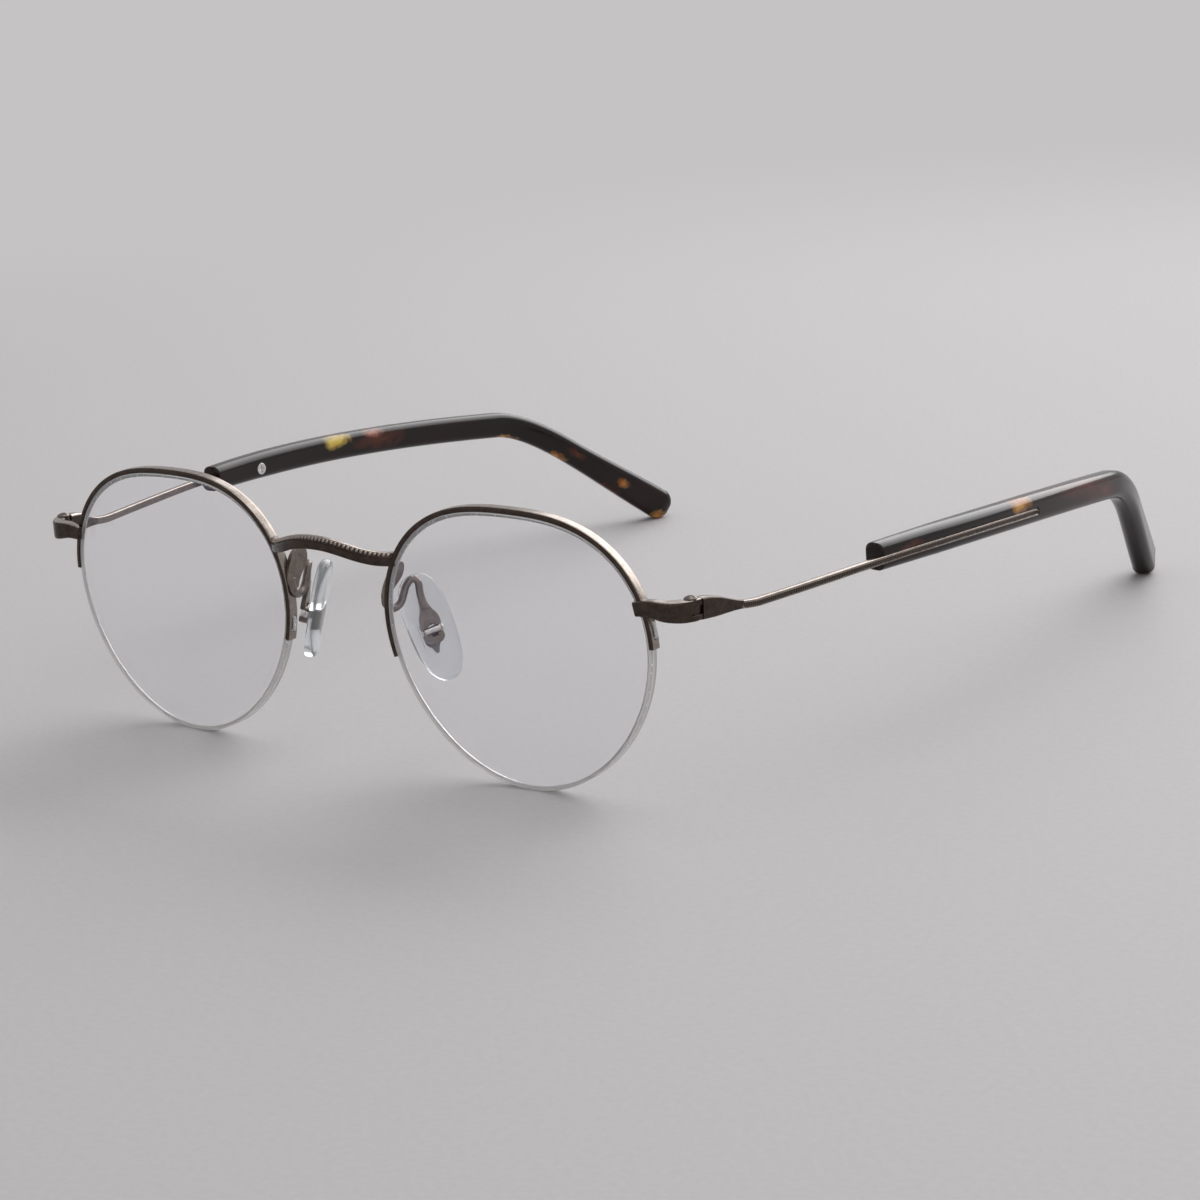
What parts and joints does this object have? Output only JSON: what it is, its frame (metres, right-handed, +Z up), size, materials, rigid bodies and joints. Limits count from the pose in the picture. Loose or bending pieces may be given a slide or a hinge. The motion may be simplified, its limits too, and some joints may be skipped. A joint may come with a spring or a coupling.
{
  "type": "round half-rim eyeglasses",
  "caption": "Round half-rim eyeglasses: cord-held lenses, bowed bridge, rocking nose pads and temples that fold on slotted hinges.",
  "frame": {"origin": "centre of the footprint, on the table the glasses stand on", "axes": "+X towards the wearer's left, +Y back to the ears, +Z up"},
  "size_m": [0.1448, 0.1504, 0.0425],
  "materials": {
    "lens": "clear demo lens",
    "frame_metal": "dark bronze plating, satin",
    "bar_metal": "light bronze plating, satin",
    "screw_metal": "turned and slotted",
    "nylon": "clear nylon",
    "pad_silicone": "clear silicone",
    "pad_core": "dark moulded insert",
    "acetate": "polished dark tortoise acetate"
  },
  "bodies": {
    "front": {"lens_left": "lens", "lens_right": "lens", "rim_left": "frame_metal", "rim_right": "frame_metal", "rim_liner_left": "nylon", "rim_liner_right": "nylon", "lens_cord_left": "nylon", "lens_cord_right": "nylon", "bridge": "frame_metal", "pad_arm_left": "frame_metal", "pad_arm_right": "frame_metal", "pad_screw_left": "screw_metal", "pad_screw_right": "screw_metal", "endpiece_left": "frame_metal", "endpiece_right": "frame_metal", "hinge_screw_left": "screw_metal", "hinge_screw_right": "screw_metal"},
    "nose_pad_left_body": {"nose_pad_left": "pad_silicone", "pad_core_left": "pad_core"},
    "nose_pad_right_body": {"nose_pad_right": "pad_silicone", "pad_core_right": "pad_core"},
    "temple_left": {"temple_bar_left": "bar_metal", "temple_tip_left": "acetate", "tip_screw_left": "screw_metal"},
    "temple_right": {"temple_bar_right": "bar_metal", "temple_tip_right": "acetate", "tip_screw_right": "screw_metal"}
  },
  "joints": [
    {"name": "temple_left_fold", "type": "hinge", "parent": "front", "child": "temple_left", "pos_m": [0.06466, -0.0663, 0.02974], "axis": [0, -0.014, 0.9999], "range_deg": [0, 84]},
    {"name": "temple_right_fold", "type": "hinge", "parent": "front", "child": "temple_right", "pos_m": [-0.06466, -0.0663, 0.02974], "axis": [0, 0.014, -0.9999], "range_deg": [0, 67]},
    {"name": "nose_pad_left_rock", "type": "hinge", "parent": "front", "child": "nose_pad_left_body", "pos_m": [0.01335, -0.06377, 0.02047], "axis": [-0.4591, -0.8667, -0.1951], "range_deg": [-4, 4]},
    {"name": "nose_pad_right_rock", "type": "hinge", "parent": "front", "child": "nose_pad_right_body", "pos_m": [-0.01335, -0.06377, 0.02047], "axis": [-0.4591, 0.8667, 0.1951], "range_deg": [-4, 4]}
  ]
}
